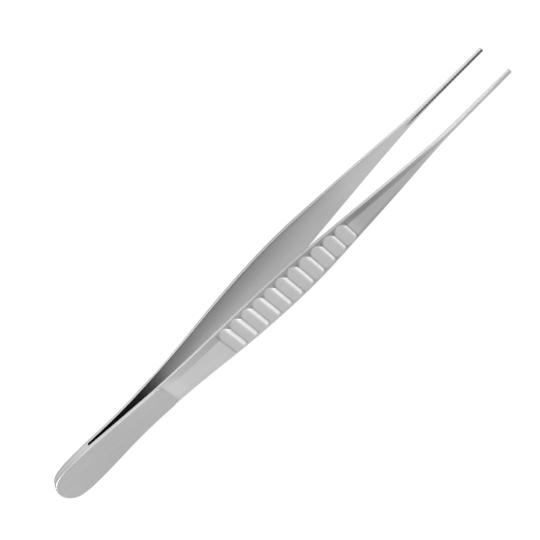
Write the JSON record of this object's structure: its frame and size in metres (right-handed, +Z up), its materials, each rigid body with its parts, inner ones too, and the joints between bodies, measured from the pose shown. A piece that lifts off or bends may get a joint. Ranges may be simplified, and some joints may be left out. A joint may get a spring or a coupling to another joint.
{
  "type": "thumb forceps",
  "caption": "Thumb forceps with slender spring arms joined at a flat rounded tail, fluted finger grips and narrow fine-toothed jaws.",
  "frame": {"origin": "under the middle of the bounding box, on the surface that the forceps lies on", "axes": "+X along the instrument from the tail to the tips, +Y to the left arm across the opening, +Z up along the width of the arms; it lies on the edges of both arms"},
  "size_m": [0.16, 0.0176, 0.0098],
  "materials": {
    "steel": "satin"
  },
  "bodies": {
    "root": {"left_arm": "steel", "right_arm": "steel"}
  },
  "joints": []
}
